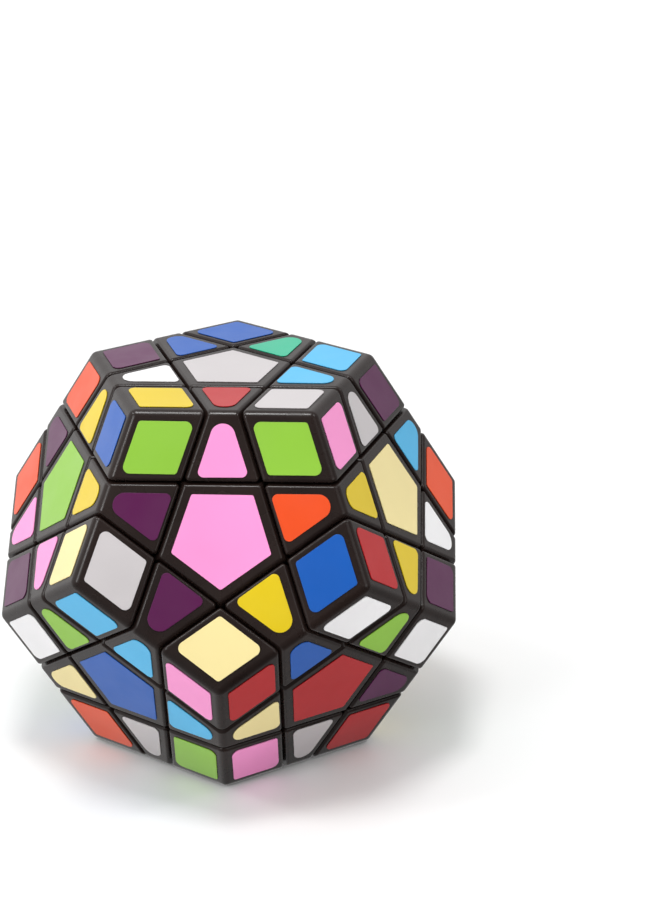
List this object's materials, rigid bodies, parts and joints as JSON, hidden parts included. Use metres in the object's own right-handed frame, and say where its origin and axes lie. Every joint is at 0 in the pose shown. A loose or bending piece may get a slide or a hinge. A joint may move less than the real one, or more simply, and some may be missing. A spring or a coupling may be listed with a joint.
{
  "type": "dodecahedron twisty puzzle",
  "caption": "Face-turning dodecahedron puzzle with stickered centre, edge and corner pieces in black plastic, held by a sprung core; layers turn about their face axes.",
  "frame": {"origin": "middle of the core, where the twelve turning axes meet", "axes": "+Z is out of the top face and -Z out of the face it stands on; -Y is the side of the front face, whose axis rises 26.6 degrees above -Y; +X is to the right seen from the front"},
  "size_m": [0.078, 0.0818, 0.0672],
  "materials": {
    "black_plastic": "moulded black ABS, satin gloss, rounded seams",
    "vinyl_stickers": "thin glossy vinyl stickers in twelve colours",
    "core_plastic": "matte moulded plastic",
    "zinc_screws": "zinc plated steel",
    "spring_steel": "drawn spring wire"
  },
  "bodies": {
    "rest": {"core_screws": "zinc_screws", "core_spider": "core_plastic", "core_springs": "spring_steel", "core_washers": "zinc_screws", "rest.caps": "black_plastic", "rest.centres.lower": "black_plastic", "rest.centres.top": "black_plastic", "rest.centres.upper": "black_plastic", "rest.corner.left.low_rear_left.low_left": "black_plastic", "rest.corner.rear_left.low_rear.low_rear_left": "black_plastic", "rest.corner.rear_left.low_rear_left.left": "black_plastic", "rest.corner.right.low_right.low_rear_right": "black_plastic", "rest.corner.top.rear_left.left": "black_plastic", "rest.edges.left": "black_plastic", "rest.edges.low": "black_plastic", "rest.edges.rear_left": "black_plastic", "rest.edges.right": "black_plastic", "rest.edges.top": "black_plastic", "rest.stickers": "vinyl_stickers"},
    "layer_front": {"layer_front.cap": "black_plastic", "layer_front.centre": "black_plastic", "layer_front.corner.left.low_left": "black_plastic", "layer_front.corner.low_left.low_right": "black_plastic", "layer_front.corner.low_right.right": "black_plastic", "layer_front.corner.top.left": "black_plastic", "layer_front.corner.top.right": "black_plastic", "layer_front.edge.left": "black_plastic", "layer_front.edge.low_left": "black_plastic", "layer_front.edge.low_right": "black_plastic", "layer_front.edge.right": "black_plastic", "layer_front.edge.top": "black_plastic", "layer_front.stickers": "vinyl_stickers"},
    "layer_rear_right": {"layer_rear_right.cap": "black_plastic", "layer_rear_right.centre": "black_plastic", "layer_rear_right.corner.low_rear.rear_left": "black_plastic", "layer_rear_right.corner.low_rear_right.low_rear": "black_plastic", "layer_rear_right.corner.right.low_rear_right": "black_plastic", "layer_rear_right.corner.top.rear_left": "black_plastic", "layer_rear_right.corner.top.right": "black_plastic", "layer_rear_right.edge.low_rear": "black_plastic", "layer_rear_right.edge.low_rear_right": "black_plastic", "layer_rear_right.edge.rear_left": "black_plastic", "layer_rear_right.edge.right": "black_plastic", "layer_rear_right.edge.top": "black_plastic", "layer_rear_right.stickers": "vinyl_stickers"},
    "layer_bottom": {"layer_bottom.cap": "black_plastic", "layer_bottom.centre": "black_plastic", "layer_bottom.corner.low_rear.low_rear_left": "black_plastic", "layer_bottom.corner.low_rear_left.low_left": "black_plastic", "layer_bottom.corner.low_rear_right.low_rear": "black_plastic", "layer_bottom.corner.low_right.low_left": "black_plastic", "layer_bottom.corner.low_right.low_rear_right": "black_plastic", "layer_bottom.edge.low_left": "black_plastic", "layer_bottom.edge.low_rear": "black_plastic", "layer_bottom.edge.low_rear_left": "black_plastic", "layer_bottom.edge.low_rear_right": "black_plastic", "layer_bottom.edge.low_right": "black_plastic", "layer_bottom.stickers": "vinyl_stickers", "layer_bottom.stickers.underside": "vinyl_stickers"}
  },
  "joints": [
    {"name": "turn_front", "type": "hinge", "parent": "rest", "child": "layer_front", "pos_m": [0, 0, 0], "axis": [0, -0.8944, 0.4472], "continuous": true},
    {"name": "turn_rear_right", "type": "hinge", "parent": "rest", "child": "layer_rear_right", "pos_m": [0, 0, 0], "axis": [0.5257, 0.7236, 0.4472], "continuous": true},
    {"name": "turn_bottom", "type": "hinge", "parent": "rest", "child": "layer_bottom", "pos_m": [0, 0, 0], "axis": [0, 0, -1], "continuous": true}
  ]
}
